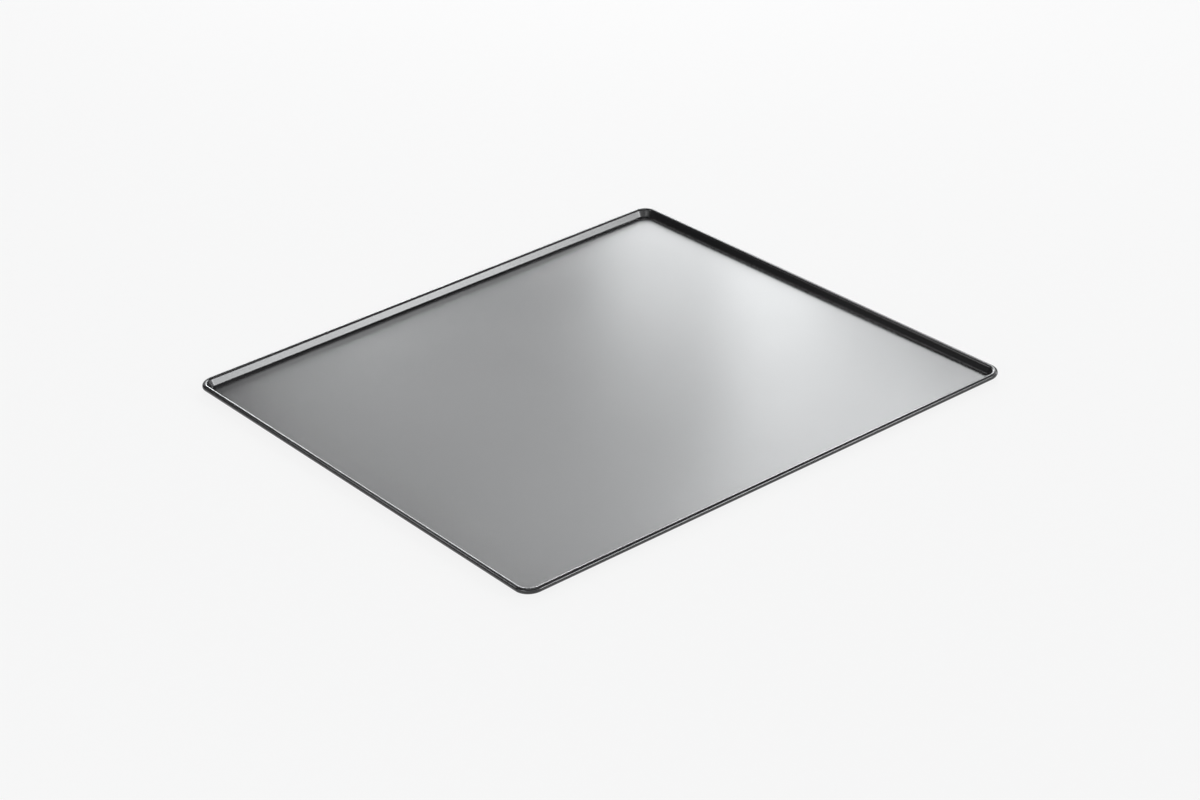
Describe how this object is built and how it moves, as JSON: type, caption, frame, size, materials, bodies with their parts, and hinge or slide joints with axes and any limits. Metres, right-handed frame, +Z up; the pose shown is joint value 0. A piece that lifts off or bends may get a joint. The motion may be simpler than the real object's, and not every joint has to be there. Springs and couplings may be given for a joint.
{
  "type": "cookie sheet",
  "caption": "Shallow, nearly square baking tray with a flat base, a low flared wall, rounded corners and a rolled, wire-reinforced rim.",
  "frame": {"origin": "middle of the underside, on the surface that the tray rests on", "axes": "+X along the long side, +Y along the short side, +Z up out of the tray"},
  "size_m": [0.4, 0.385, 0.0063],
  "materials": {
    "nonstick_steel": "satin dark grey non-stick coating with a very fine grain, on pressed steel",
    "steel_wire": "drawn steel wire with faint lengthwise draw lines"
  },
  "bodies": {
    "root": {"baking_sheet": "nonstick_steel", "rim_wire": "steel_wire"}
  },
  "joints": []
}
